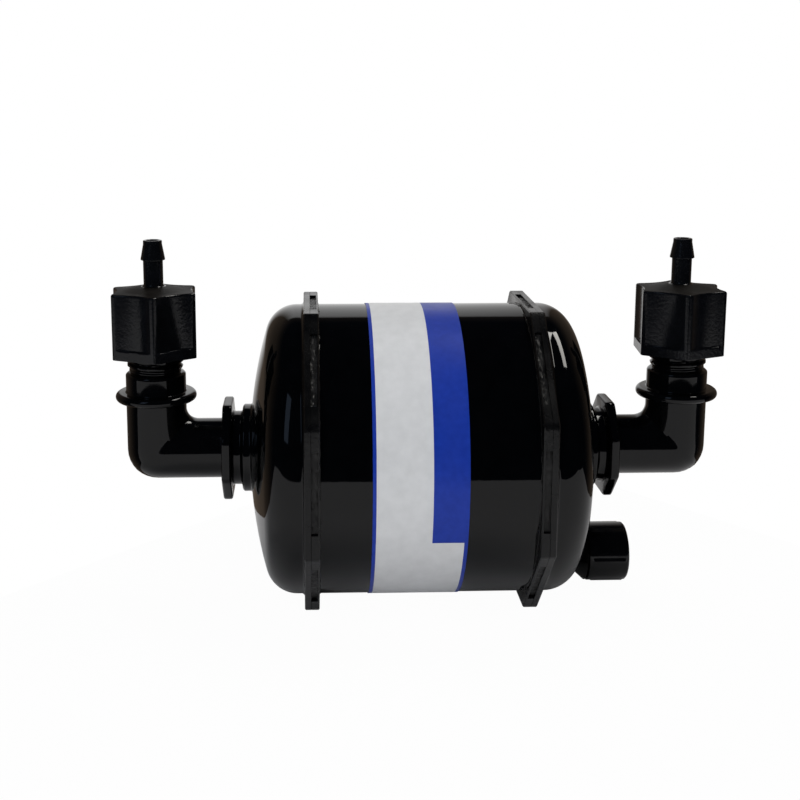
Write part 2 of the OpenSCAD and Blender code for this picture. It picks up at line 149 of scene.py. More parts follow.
# Label
LABEL_X0 = -11.7
LABEL_X1 = 7.8
LABEL_IN_R = 32.03
LABEL_OUT_R = 32.15
LABEL_ARC = 320
LABEL_START = 90 + (360 - LABEL_ARC) / 2
LABEL_COLUMNS = 200
LABEL_PANEL_X = 0.5
LABEL_STRIPE_W = 0.75
LABEL_PANEL_END = -20.9

# Radii of small roundings
FLANGE_EDGE = 0.22
SEAM_EDGE = 0.06
POCKET_SLOPE = 0.04
PORT_FOOT = 0.5
PORT_EDGE = 0.5
LEG_ROOT = 0.35
BEAD_FOOT = 0.25
MOUTH_CHAMFER = 0.3
NUT_CORNER_R = 0.5
NUT_EDGE_R = 0.4
STEM_FILLET = 0.55
BARB_BORE_CHAMFER = 0.15

# Rounded edges in steps: how far from the end, and how far off the full radius.
# A step close before an edge keeps the smooth shading of the long face beside it straight.
FLANGE_FOOT_STEPS = ((0.4, 0), (0.1, 0), (0.02, 0.05))
PORT_COLLAR_STEPS = ((0.7, 0), (0.45, 0), (0.3, 0.06), (0.06, 0.3), (0, 0.45))
LEG_COLLAR_STEPS = ((0.9, 0), (0.62, 0), (0.42, 0.07), (0.08, 0.42), (0, 0.62))
NUT_FOOT_STEPS = ((0, 0.2), (0.06, 0.06), (0.2, 0), (0.45, 0))
BARB_TIP_STEPS = ((0.2, 0), (0.05, 0.06), (0, 0.2))
VENT_RIM_STEPS = ((0, 0.2), (0.06, 0.06), (0.2, 0))
VENT_END_STEPS = ((0.5, 0), (0.35, 0.06), (0.06, 0.35), (0, 0.5), (0, 1.3), (0.25, 1.6))
VENT_SEAT_STEPS = ((0.15, 0.1), (0, 0.2), (0, VENT_R - VENT_THREAD_R + 0.3))

# Step from the nut's plain band into its hollow faces: height from the band's top, share of the hollow
NUT_BAND_STEPS = (
    (-0.35, 0), (-0.12, 0), (-0.03, 0.04), (0, 0.16), (0.02, 0.8), (0.06, 0.94), (0.16, 1), (0.4, 1),
)

# Foot of the barb: height from its lower face, radius; then stops along its cone
BARB_FOOT_STEPS = ((-0.1, STEM_R), (0, STEM_R + 0.1), (0, BARB_R - 0.18), (0.05, BARB_R - 0.06))
BARB_STOPS = (0.06, 0.12, 0.95, 1.0)

# Rough weld: points round and across it, its height in each flat's pocket, how far it laps and sinks
FLASH_COLUMNS = 540
FLASH_STEPS = 60
FLASH_ACROSS = 7
FLASH_ROUGH = (0.3, 0.5, 0.22, 0.2, 0.15, 0.2, 0.22, 0.4)
FLASH_LAP = 0.03
FLASH_SINK = 0.05
POCKET_WELD_GAP = 0.06
POCKET_WELD_END = 0.1

# Unevenness of the weld bead: where its noise is read, then the least size and the waves that add to it,
# each as height and frequency; its section's upper corners as shares of width and height
FLASH_NOISE_R = 8
FLASH_NOISE_END = 3.0
FLASH_WIDTH = (0.1, (0.34, 1.7), (0.2, 7))
FLASH_HEIGHT = (0.07, (0.3, 2.3), (0.2, 9))
FLASH_SHOULDERS = ((0.8, 0.35), (0.3, 1.0))
FLASH_LAP_HEIGHT = 0.8

# Unevenness of the welds in the pockets: noise per millimetre across and along, its offset between flats
# and between ends, its middle and the heights of its two waves
POCKET_NOISE_ACROSS = 2.4
POCKET_NOISE_ALONG = 0.8
POCKET_NOISE_SIDE = 7.0
POCKET_NOISE_END = 40.0
POCKET_WAVES = (0.5, 0.5, 0.35)
POCKET_FINE = 4

# Camera at the photograph's viewpoint
CAMERA_AT = (-24.45, -270.04, 115.07)
CAMERA_YAW = 1.959
CAMERA_PITCH = 9.783
CAMERA_ROLL = -0.040
CAMERA_LENS = 56.133
CAMERA_SHIFT = (0.0625, -0.1375)
SENSOR_WIDTH = 36
CLIP_START = 0.01

# Edges bent by more than this many degrees are shaded as creases
CREASE = 32
NUT_CREASE = 18

ROUND = 96
VENT_ROUND = 144


def finish_mesh(name, bm, sharp=CREASE):
    """Object from a bmesh in millimetres, shaded smooth with creases above the sharp angle."""
    bmesh.ops.recalc_face_normals(bm, faces=bm.faces)
    bmesh.ops.scale(bm, vec=(MM, MM, MM), verts=bm.verts)
    mesh = bpy.data.meshes.new(name)
    bm.to_mesh(mesh)
    bm.free()
    mesh.shade_smooth()
    mesh.set_sharp_from_angle(angle=math.radians(sharp))
    obj = bpy.data.objects.new(name, mesh)
    bpy.context.scene.collection.objects.link(obj)
    return obj


def add_loft(bm, rings, closed=True):
    """Skin through rings of equally many points; an open skin gets a cap on each end."""
    rows = [[bm.verts.new(p) for p in row] for row in rings]
    pairs = list(zip(rows, rows[1:]))
    if closed:
        pairs.append((rows[-1], rows[0]))
    else:
        bm.faces.new(rows[0])
        bm.faces.new(list(reversed(rows[-1])))
    for a, b in pairs:
        for i in range(len(a)):
            j = (i + 1) % len(a)
            bm.faces.new((a[i], a[j], b[j], b[i]))


def loft(name, rings, closed=True, sharp=CREASE):
    bm = bmesh.new()
    add_loft(bm, rings, closed)
    return finish_mesh(name, bm, sharp)


def mirrored(rings):
    """The same rings on the outlet side."""
    return [[Vector((-p.x, p.y, p.z)) for p in row] for row in rings]


def rounding(steps):
    """Pairs (1 - cos, 1 - sin) along a quarter turn, for a rounding of radius one."""
    angles = [math.pi / 2 * k / steps for k in range(steps + 1)]
    return [(1 - math.cos(a), 1 - math.sin(a)) for a in angles]


# Columns round the weld flange: side of the octagon, place along its flat, in a pocket or not
POCKET_STEP = 0.15
FLAT_STOPS = (13.5, 12.6, 11.6, 10.6, 9.6, POCKET_HALF + POCKET_STEP)
POCKET_COLUMNS = 7
FLANGE_COLUMNS = []
for side in range(8):
    inner = [POCKET_HALF * k / POCKET_COLUMNS for k in range(POCKET_COLUMNS, -1, -1)]
    half_flat = [*FLAT_STOPS, *inner]
    for t in [-t for t in half_flat] + half_flat[-2::-1]:
        FLANGE_COLUMNS.append((math.radians(45 * side), t, abs(t) <= POCKET_HALF))


def axis_point(x, radius, angle):
    """Point at a radius and an angle about the capsule axis."""
    return Vector((x, radius * math.sin(angle), AXIS_Z + radius * math.cos(angle)))


def shell_round(x, radius):
    return [axis_point(x, radius, a + math.atan2(t, FLAT_R)) for a, t, _ in FLANGE_COLUMNS]


def shell_octagon(x, inset, pocketed):
    row = []
    for a, t, in_pocket in FLANGE_COLUMNS:
        flat = FLAT_R - inset
        s = t * flat / FLAT_R
        if in_pocket and pocketed:
            flat -= POCKET_DEPTH
        row.append(axis_point(x, math.hypot(flat, s), a + math.atan2(s, flat)))
    return row


def half_barrel():
    """Rings of the barrel's outside from its middle to the inlet weld plane."""
    lip_x = BARREL_HALF + POCKET_LIP
    rings = [shell_round(0, BARREL_R)]
    rings += [shell_round(BARREL_HALF - back, BARREL_R + out) for back, out in FLANGE_FOOT_STEPS]
    return rings + [
        shell_octagon(BARREL_HALF, FLANGE_EDGE, False),
        shell_octagon(BARREL_HALF + FLANGE_EDGE, 0, False),
        shell_octagon(lip_x - SEAM_EDGE, 0, False),
        shell_octagon(lip_x, 0, False),
        shell_octagon(lip_x + POCKET_SLOPE, 0, True),
        shell_octagon(WELD_X - SEAM_EDGE, 0, True),
        shell_octagon(WELD_X, SEAM_EDGE, True),
    ]


def make_barrel():
    right = half_barrel()
    left = mirrored(reversed(right[1:]))
    bore = [shell_round(WELD_X, BORE_R), shell_round(-WELD_X, BORE_R)]
    return loft("barrel_shell", left + right + bore)


def dome_curve(inset, knuckle_steps=20, crown_steps=40):
    """(x, radius) along the dome from its skirt to the apex."""
    points = []
    for k in range(knuckle_steps + 1):
        a = (math.pi / 2 - BLEND) * k / knuckle_steps
        r = KNUCKLE_R - inset
        points.append((KNUCKLE_X + r * math.sin(a), KNUCKLE_CR + r * math.cos(a)))
    for k in range(1, crown_steps + 1):
        a = BLEND * (1 - k / crown_steps)
        points.append((CROWN_X + (CROWN_R - inset) * math.cos(a), (CROWN_R - inset) * math.sin(a)))
    return points


def dome_at(radius, inset=0):
    """Where the dome's surface lies at a radius, in the crown or in the rounded shoulder."""
    if radius < (CROWN_R - inset) * math.sin(BLEND):
        return CROWN_X + math.sqrt((CROWN_R - inset) ** 2 - radius ** 2)
    return KNUCKLE_X + math.sqrt((KNUCKLE_R - inset) ** 2 - (radius - KNUCKLE_CR) ** 2)


def cap_rings(with_socket):
    """Rings of an end cap; the outlet's has a socket inside for the element's nozzle."""
    foot_r = COLLAR_R + PORT_FOOT
    foot_x = dome_at(foot_r)
    seat_x = SPIGOT_END_X - SHELL_WALL
    rings = [
        shell_octagon(WELD_X, SEAM_EDGE, False),
        shell_octagon(WELD_X + SEAM_EDGE, 0, False),
        shell_octagon(CAP_FACE_X - FLANGE_EDGE, 0, False),
        shell_octagon(CAP_FACE_X, FLANGE_EDGE, False),
    ]
    rings += [shell_round(CAP_FACE_X + DOME_FILLET * u, BARREL_R + DOME_FILLET * v) for u, v in rounding(6)]
    rings += [shell_round(x, r) for x, r in dome_curve(0) if r > foot_r]
    rings += [shell_round(foot_x + PORT_FOOT * u, COLLAR_R + PORT_FOOT * v) for u, v in rounding(4)]
    rings += [shell_round(NECK_X - back, COLLAR_R - off) for back, off in PORT_COLLAR_STEPS]
    bored = [(NECK_X, PORT_HOLE_R), (SPIGOT_END_X, PORT_HOLE_R), (SPIGOT_END_X, LEG_BORE_R)]
    if with_socket:
        bored += [
            (SOCKET_FLOOR_X, LEG_BORE_R),
            (SOCKET_FLOOR_X, SOCKET_R),
            (SOCKET_START_X, SOCKET_R),
            (SOCKET_START_X, SOCKET_OUT_R),
            (seat_x, SOCKET_OUT_R),
        ]
    else:
        bored.append((seat_x, LEG_BORE_R))
    bored += [(seat_x, COLLAR_R), (dome_at(COLLAR_R, SHELL_WALL), COLLAR_R)]
    inside = [p for p in dome_curve(SHELL_WALL, 10, 16) if p[1] > COLLAR_R]
    rings += [shell_round(x, r) for x, r in bored + inside[::-1]]
    rings.append(shell_round(WELD_X, BORE_R))
    return rings


def flat_point(x, distance, along, side):
    """Point above one of the flange's flats."""
    turn = math.radians(45 * side) + math.atan2(along, distance)
    return axis_point(x, math.hypot(distance, along), turn)


def uneven(place, least, *waves):
    """Size that varies along a weld: the least one and, for each wave, its height and frequency."""
    return least + sum(high * max(0.0, noise.noise(place * often)) for high, often in waves)


def weld_bead_rings(end):
    """Rough bead along the foot of a flange."""
    rings = []
    for k in range(FLASH_COLUMNS):
        a = 2 * math.pi * k / FLASH_COLUMNS
        place = Vector((FLASH_NOISE_R * math.cos(a), FLASH_NOISE_R * math.sin(a), FLASH_NOISE_END * end))
        wide = uneven(place, *FLASH_WIDTH)
        high = uneven(place, *FLASH_HEIGHT)
        section = [
            (BARREL_HALF + FLASH_LAP, BARREL_R - FLASH_SINK),
            (BARREL_HALF - wide, BARREL_R - FLASH_SINK),
        ]
        section += [(BARREL_HALF - w * wide, BARREL_R + h * high) for w, h in FLASH_SHOULDERS]
        section.append((BARREL_HALF + FLASH_LAP, BARREL_R + FLASH_LAP_HEIGHT * high))
        rings.append([axis_point(end * x, r, a) for x, r in section])
    return rings


def pocket_weld_rings(end, side):
    """Rough weld left in the pocket of one flat."""
    floor = FLAT_R - POCKET_DEPTH
    start = BARREL_HALF + POCKET_LIP + POCKET_WELD_GAP
    offset = POCKET_NOISE_SIDE * side + POCKET_NOISE_END * end
    middle, coarse, fine = POCKET_WAVES
    rings = []
    for k in range(FLASH_STEPS + 1):
        along = (2 * k / FLASH_STEPS - 1) * (POCKET_HALF - POCKET_WELD_END)
        row = []
        for j in range(FLASH_ACROSS + 1):
            x = start + (WELD_X - start) * j / FLASH_ACROSS
            place = Vector((x * POCKET_NOISE_ACROSS, along * POCKET_NOISE_ALONG, offset))
            lift = middle + coarse * noise.noise(place) + fine * noise.noise(place * POCKET_FINE)
            top = floor + FLASH_LAP + FLASH_ROUGH[side] * max(0.0, lift)
            row.append(flat_point(end * x, top, along, side))
        row.append(flat_point(end * WELD_X, floor - FLASH_SINK, along, side))
        row.append(flat_point(end * start, floor - FLASH_SINK, along, side))
        rings.append(row)
    return rings


def make_weld(name, end):
    bm = bmesh.new()
    add_loft(bm, weld_bead_rings(end))
    for side in range(8):
        add_loft(bm, pocket_weld_rings(end, side), False)
    return finish_mesh(name, bm)


def turns(count=ROUND):
    return [2 * math.pi * k / count for k in range(count)]


def radius_at(radius, turn):
    """A radius is a number, or a function of the turn."""
    return radius(turn) if callable(radius) else radius


def level_ring(x, radius):
    """Ring about the capsule axis, started at the bottom."""
    row = []
    for t in turns():
        r = radius_at(radius, t)
        row.append(Vector((x, r * math.sin(t), AXIS_Z - r * math.cos(t))))
    return row


def upright_ring(z, radius):
    """Ring about the upright leg's axis, started on the outer side."""
    row = []
    for t in turns():
        r = radius_at(radius, t)
        row.append(Vector((LEG_X + r * math.cos(t), r * math.sin(t), AXIS_Z + z)))
    return row


def port_octagon(inset):
    """Radius of the octagonal port flange, its corners slightly rounded."""
    def radius(t):
        a = (math.degrees(t) + 22.5) % 45 - 22.5
        return min((PORT_FLAT_R - inset) / math.cos(math.radians(a)), PORT_CORNER_R - inset)
    return radius


def bend_outer(phi):
    """From the crotch's centre to the outer side of the bend."""
    mirror = min(phi, math.pi / 2 - phi)
    reach = BEND_R + LEG_R
    if reach * math.tan(mirror) < BEND_R:
        return reach / math.cos(mirror)
    corner = BEND_R * math.sqrt(2)
    off = corner * math.sin(math.pi / 4 - mirror)
    return corner * math.cos(math.pi / 4 - mirror) + math.sqrt(LEG_R ** 2 - off ** 2)


def bend_ring(phi):
    """Section of the elbow's corner through the crotch's centre."""
    mitre = math.cos(min(phi, math.pi / 2 - phi))
    middle = BEND_R / mitre
    outer = bend_outer(phi)
    row = []
    for t in turns():
        c = math.cos(t)
        if c >= 0:
            reach = middle + (outer - middle) * c
        else:
            reach = (BEND_R + LEG_R * c) / mitre ** (1 - c ** 4)
        row.append(Vector((
            LEG_X - BEND_R + reach * math.sin(phi),
            LEG_R * math.sin(t),
            AXIS_Z + BEND_R - reach * math.cos(phi),
        )))
    return row


def mitre_ring():
    """Where the two bores of an elbow meet."""
    r = LEG_BORE_R
    return [Vector((LEG_X + r * math.cos(t), r * math.sin(t), AXIS_Z - r * math.cos(t))) for t in turns()]


def thread_radius(z, start, end, crest, depth, pitch):
    """Radius of a rounded thread at a height, as a function of the turn."""
    fade = max(0.0, min(1.0, (z - start) / pitch, (end - z) / pitch))

    def radius(t):
        place = (z / pitch - t / (2 * math.pi)) % 1
        wave = 0.5 + 0.5 * math.cos(2 * math.pi * place)
        return crest - depth + depth * fade * min(1.0, THREAD_FLATTEN * wave)
    return radius


def port_rings():
    """Rings of an elbow's spigot, neck and octagonal flange, up to the root of its level leg."""
    rings = [
        level_ring(SPIGOT_END_X, LEG_BORE_R),
        level_ring(SPIGOT_END_X, SPIGOT_R),
        level_ring(NECK_X, SPIGOT_R),
    ]
    rings += [level_ring(NECK_X + NECK_FILLET * u, NECK_R + NECK_FILLET * v) for u, v in rounding(6)]
    rings += [level_ring(FLANGE_X - NECK_FILLET * v, NECK_R + NECK_FILLET * u) for u, v in rounding(6)]
    rings += [level_ring(FLANGE_X + PORT_EDGE * u, port_octagon(PORT_EDGE * v)) for u, v in rounding(4)]
    rings += [level_ring(LEG_START_X - PORT_EDGE * v, port_octagon(PORT_EDGE * u)) for u, v in rounding(4)]
    rings += [level_ring(LEG_START_X + LEG_ROOT * u, LEG_R + LEG_ROOT * v) for u, v in rounding(4)]
    return rings


def upright_rings():
    """Rings of an elbow's upright leg: bead ring, plain collar and threaded mouth."""
    bead_low = BEAD_Z - BEAD_HALF
    bead_high = BEAD_Z + BEAD_HALF
    rings = [upright_ring(bead_low - BEAD_FOOT * v, LEG_R + BEAD_FOOT * u) for u, v in rounding(4)]
    for k in range(17):
        a = math.pi * (k / 16 - 0.5)
        rings.append(upright_ring(BEAD_Z + BEAD_HALF * math.sin(a), BEAD_R - BEAD_HALF * (1 - math.cos(a))))
    rings += [upright_ring(bead_high + BEAD_FOOT * u, LEG_R + BEAD_FOOT * v) for u, v in rounding(4)]
    rings += [upright_ring(COLLAR_TOP - back, LEG_R - off) for back, off in LEG_COLLAR_STEPS]
    steps = round((THREAD_END - THREAD_START) / THREAD_STEP)
    for k in range(steps + 1):
        z = THREAD_START + (THREAD_END - THREAD_START) * k / steps
        thread = thread_radius(z, THREAD_START, THREAD_END, THREAD_R, THREAD_DEPTH, THREAD_PITCH)
        rings.append(upright_ring(z, thread))
    rings.append(upright_ring(MOUTH_Z, THREAD_R - THREAD_DEPTH - MOUTH_CHAMFER))
    return rings


def elbow_rings():
    rings = port_rings()
    rings += [bend_ring(math.radians(90 * k / BEND_STEPS)) for k in range(BEND_STEPS + 1)]
    rings += upright_rings()
    rings.append(upright_ring(MOUTH_Z, LEG_BORE_R))
    rings.append(upright_ring(LEG_BORE_R + BORE_MEET, LEG_BORE_R))
    rings.append(mitre_ring())
    rings.append(level_ring(LEG_X - LEG_BORE_R - BORE_MEET, LEG_BORE_R))
    return rings


# Columns round the nut: direction of the face, place along it, and how far a rounded corner falls behind it
NUT_FACE_STOPS = (4.6, 4.38, 4.26, 3.7, 3.0, 2.25, 1.5, 0.75)
NUT_CORNER_TURNS = (22.5, 15.0, 7.5, 0.0)
NUT_CORNER_S = (NUT_FLAT_R - NUT_CORNER_R) * math.tan(math.radians(30))
NUT_HALF_FACE = []
for beta in (math.radians(a) for a in NUT_CORNER_TURNS):
    corner_s = NUT_CORNER_S + NUT_CORNER_R * math.sin(beta)
    NUT_HALF_FACE.append((corner_s, NUT_CORNER_R * (1 - math.cos(beta))))
NUT_HALF_FACE += [(s, 0.0) for s in NUT_FACE_STOPS]
NUT_FACE = [(-s, fall) for s, fall in NUT_HALF_FACE] + [(0.0, 0.0)] + NUT_HALF_FACE[::-1]
NUT_COLUMNS = []
for face in range(6):
    NUT_COLUMNS += [(math.radians(NUT_TURN + 30 + 60 * face), s, fall) for s, fall in NUT_FACE]


def nut_hexagon(z, inset, hollow):
    """Ring of the hexagon, its edge set in, with a share of the faces' hollow."""
    row = []
    for face, s, fall in NUT_COLUMNS:
        depth = fall
        if abs(s) < HOLLOW_HALF:
            depth = hollow * (HOLLOW - HOLLOW_R + math.sqrt(HOLLOW_R ** 2 - s ** 2))
        distance = NUT_FLAT_R - inset - depth
        along = s * (NUT_FLAT_R - inset) / NUT_FLAT_R
        row.append(Vector((
            LEG_X + distance * math.cos(face) - along * math.sin(face),
            distance * math.sin(face) + along * math.cos(face),
            AXIS_Z + z,
        )))
    return row


def nut_round(z, radius):
    row = []
    for face, s, _ in NUT_COLUMNS:
        a = face + math.atan2(s, NUT_FLAT_R)
        row.append(Vector((LEG_X + radius * math.cos(a), radius * math.sin(a), AXIS_Z + z)))
    return row


def nut_body_rings():
    """Rings of the nut from its lower face to the foot of the stem."""
    band_top = NUT_BOTTOM + NUT_BAND
    rings = [nut_round(NUT_BOTTOM, NUT_BORE_R)]
    rings += [nut_hexagon(NUT_BOTTOM + up, inset, 0) for up, inset in NUT_FOOT_STEPS]
    rings += [nut_hexagon(band_top + up, 0, hollow) for up, hollow in NUT_BAND_STEPS]
    rings.append(nut_hexagon(NUT_TOP - NUT_EDGE_R - NUT_EDGE_LEAD, 0, 1))
    rings += [nut_hexagon(NUT_TOP - NUT_EDGE_R * v, NUT_EDGE_R * u, 1) for u, v in rounding(8)]
    for k in range(NUT_CROWN_STEPS):
        height = NUT_TOP + (STEM_Z - NUT_TOP) * k / NUT_CROWN_STEPS
        radius = CROWN_FOOT_R + (CROWN_TOP_R - CROWN_FOOT_R) * k / NUT_CROWN_STEPS
        rings.append(nut_round(height, radius))
    rings += [nut_round(STEM_Z + STEM_FILLET * u, STEM_R + STEM_FILLET * v) for u, v in rounding(7)]
    return rings


def nut_rings():
    rings = nut_body_rings()
    rings += [nut_round(BARB_Z + up, radius) for up, radius in BARB_FOOT_STEPS]
    for f in BARB_STOPS:
        rings.append(nut_round(BARB_Z + (NOSE_Z - BARB_Z) * f, BARB_R + (NOSE_R - BARB_R) * f))
    rings += [nut_round(TIP_Z - back, NOSE_R - off) for back, off in BARB_TIP_STEPS]
    return rings + [
        nut_round(TIP_Z, BARB_BORE_R + BARB_BORE_CHAMFER),
        nut_round(TIP_Z - BARB_BORE_CHAMFER, BARB_BORE_R),
        nut_round(NUT_ROOF, BARB_BORE_R),
        nut_round(NUT_ROOF, NUT_BORE_R),
    ]


def vent_ring(x, radius):
    """Ring about the vent's axis, started at the bottom."""
    row = []
    for t in turns(VENT_ROUND):
        r = radius_at(radius, t)
        row.append(Vector((x, r * math.sin(t), AXIS_Z - VENT_DROP - r * math.cos(t))))
    return row


def vent_grip(scale):
    """Radius of the vent cap with its ribs standing out by a share of their height."""
    def radius(t):
        pitch = 360 / VENT_RIBS
        a = math.radians((math.degrees(t) - VENT_RIB_START + pitch / 2) % pitch - pitch / 2)
        centre = VENT_R - VENT_RIB_R + VENT_RIB_RISE * scale
        off = centre * math.sin(a)
        if abs(off) >= VENT_RIB_R:
            return VENT_R
        return max(VENT_R, centre * math.cos(a) + math.sqrt(VENT_RIB_R ** 2 - off ** 2))
    return radius


def make_vent_cap():
    """Cap with its dished end; the middle of the end and of the cavity are closed by small discs."""
    low = VENT_CAP_X + VENT_RIB_INSET
    high = VENT_END_X - VENT_RIB_INSET
    rings = [
        vent_ring(VENT_ROOF_X, VENT_MIDDLE_R),
        vent_ring(VENT_ROOF_X, VENT_CAVITY_R),
        vent_ring(VENT_CAP_X, VENT_CAVITY_R),
    ]
    rings += [vent_ring(VENT_CAP_X + up, VENT_R - off) for up, off in VENT_RIM_STEPS]
    rings += [
        vent_ring(low, vent_grip(0)),
        vent_ring(low + VENT_RIB_RAMP, vent_grip(1)),
        vent_ring(high - VENT_RIB_RAMP, vent_grip(1)),
        vent_ring(high, vent_grip(0)),
    ]
    rings += [vent_ring(VENT_END_X - back, VENT_R - off) for back, off in VENT_END_STEPS]
    rings.append(vent_ring(VENT_END_X - VENT_END_STEPS[-1][0], VENT_MIDDLE_R))
    return loft("vent_knob_cap", rings, False)


def vent_root_ring(radius):
    """Ring about the vent's axis that lies in the middle of the dome's wall."""
    row = vent_ring(0, radius)
    for p in row:
        p.x = dome_at(math.hypot(p.y, p.z - AXIS_Z), SHELL_WALL / 2)
    return row


def make_vent_boss():
    rings = [
        vent_root_ring(VENT_BORE_R),
        vent_root_ring(VENT_BOSS_R),
        vent_ring(VENT_SEAT_X - VENT_FLARE, VENT_BOSS_R),
    ]
    rings += [vent_ring(VENT_SEAT_X - back, VENT_R - off) for back, off in VENT_SEAT_STEPS]
    start = VENT_THREAD_START
    end = VENT_THREAD_END
    for k in range(VENT_THREAD_STEPS + 1):
        x = start + (end - start) * k / VENT_THREAD_STEPS
        thread = thread_radius(x, start, end, VENT_THREAD_R, VENT_THREAD_DEPTH, VENT_THREAD_PITCH)
        rings.append(vent_ring(x, thread))
    rings.append(vent_ring(VENT_SPIGOT_X, VENT_THREAD_R - VENT_THREAD_DEPTH - MOUTH_CHAMFER))
    rings.append(vent_ring(VENT_SPIGOT_X, VENT_BORE_R))
    return loft("vent_boss", rings)


def make_label():
    section = [
        (LABEL_X0, LABEL_IN_R), (LABEL_X0, LABEL_OUT_R), (LABEL_X1, LABEL_OUT_R), (LABEL_X1, LABEL_IN_R),
    ]
    rings = []
    for k in range(LABEL_COLUMNS + 1):
        a = math.radians(LABEL_START + LABEL_ARC * k / LABEL_COLUMNS)
        rings.append([axis_point(x, r, a) for x, r in section])
    return loft("label_wrap", rings, False)


# Materials: texture scales are per metre; a noise is spread over the range in which most of it lies
MOTTLE_SCALE = 260.0
SMEAR_SCALE = 90.0
PLASTIC_SPREAD = (0.35, 0.7)
PLASTIC_BUMP_M = 0.0001
FILM_PAPER = ((0.58, 0.59, 0.6), (0.64, 0.65, 0.66))
FILM_INK = ((0.006, 0.028, 0.27), (0.009, 0.036, 0.33))
FILM_SPREAD = (0.3, 0.75)
FILM_FIBRE_SCALE = 400.0
FILM_GRAIN_SCALE = 700.0
FILM_GLOSS_SCALE = 150.0
FILM_GLOSS_SPREAD = (0.3, 0.7)
FILM_ROUGH = (0.3, 0.42)
FILM_CREASE_SCALE = 220.0
FILM_BUMP = 0.08
FILM_BUMP_M = 0.0002
FILM_SPECULAR = 0.3


def new_material(name):
    mat = bpy.data.materials.new(name)
    mat.use_nodes = True
    tree = mat.node_tree
    return mat, tree, tree.nodes["Principled BSDF"]


def node(tree, kind, **values):
    made = tree.nodes.new(kind)
    for key, value in values.items():
        setattr(made, key, value)
    return made


def noise_node(tree, coords, scale, detail=3.0):
    made = node(tree, "ShaderNodeTexNoise")
    made.inputs["Scale"].default_value = scale
    made.inputs["Detail"].default_value = detail
    tree.links.new(coords, made.inputs["Vector"])
    return made.outputs["Fac"]


def ramp(tree, factor, low, high, dark, light):
    """Colour that runs from dark to light as the factor runs from low to high."""
    made = node(tree, "ShaderNodeValToRGB")
    made.color_ramp.elements[0].position = low
    made.color_ramp.elements[0].color = (*dark, 1)
    made.color_ramp.elements[1].position = high
    made.color_ramp.elements[1].color = (*light, 1)
    tree.links.new(factor, made.inputs["Fac"])
    return made.outputs["Color"]


def map_range(tree, factor, low, high, to_low=0, to_high=1):
    made = node(tree, "ShaderNodeMapRange")
    made.inputs["From Min"].default_value = low
    made.inputs["From Max"].default_value = high
    made.inputs["To Min"].default_value = to_low
    made.inputs["To Max"].default_value = to_high
    tree.links.new(factor, made.inputs["Value"])
    return made.outputs["Result"]


def add_bump(tree, shader, height, strength, distance):
    lift = node(tree, "ShaderNodeBump")
    lift.inputs["Strength"].default_value = strength
    lift.inputs["Distance"].default_value = distance
    tree.links.new(height, lift.inputs["Height"])
    tree.links.new(lift.outputs["Normal"], shader.inputs["Normal"])


def plastic(name, dark, light, rough, specular, bump_scale, bump):
    """Moulded plastic: mottled colour, uneven gloss and a faint surface texture."""
    mat, tree, shader = new_material(name)
    coords = node(tree, "ShaderNodeTexCoord").outputs["Object"]
    mottle = noise_node(tree, coords, MOTTLE_SCALE)
    tree.links.new(ramp(tree, mottle, *PLASTIC_SPREAD, dark, light), shader.inputs["Base Color"])
    smear = noise_node(tree, coords, SMEAR_SCALE, detail=5.0)
    tree.links.new(map_range(tree, smear, *PLASTIC_SPREAD, *rough), shader.inputs["Roughness"])
    texture = noise_node(tree, coords, bump_scale, detail=2.0)
    add_bump(tree, shader, texture, bump, PLASTIC_BUMP_M)
    shader.inputs["Specular IOR Level"].default_value = specular
    return mat


def math_node(tree, operation, a, b=None):
    made = node(tree, "ShaderNodeMath", operation=operation)
    for socket, value in zip(made.inputs, (a, b)):
        if value is None:
            continue
        if isinstance(value, (int, float)):
            socket.default_value = value
        else:
            tree.links.new(value, socket)
    return made.outputs["Value"]


def mixed(tree, factor, a, b):
    """Colour a turned into colour b by a factor; each is a socket or a colour."""
    made = node(tree, "ShaderNodeMix", data_type="RGBA")
    tree.links.new(factor, made.inputs["Factor"])
    for socket, value in ((made.inputs["A"], a), (made.inputs["B"], b)):
        if isinstance(value, tuple):
            socket.default_value = (*value, 1)
        else:
            tree.links.new(value, socket)
    return made.outputs["Result"]


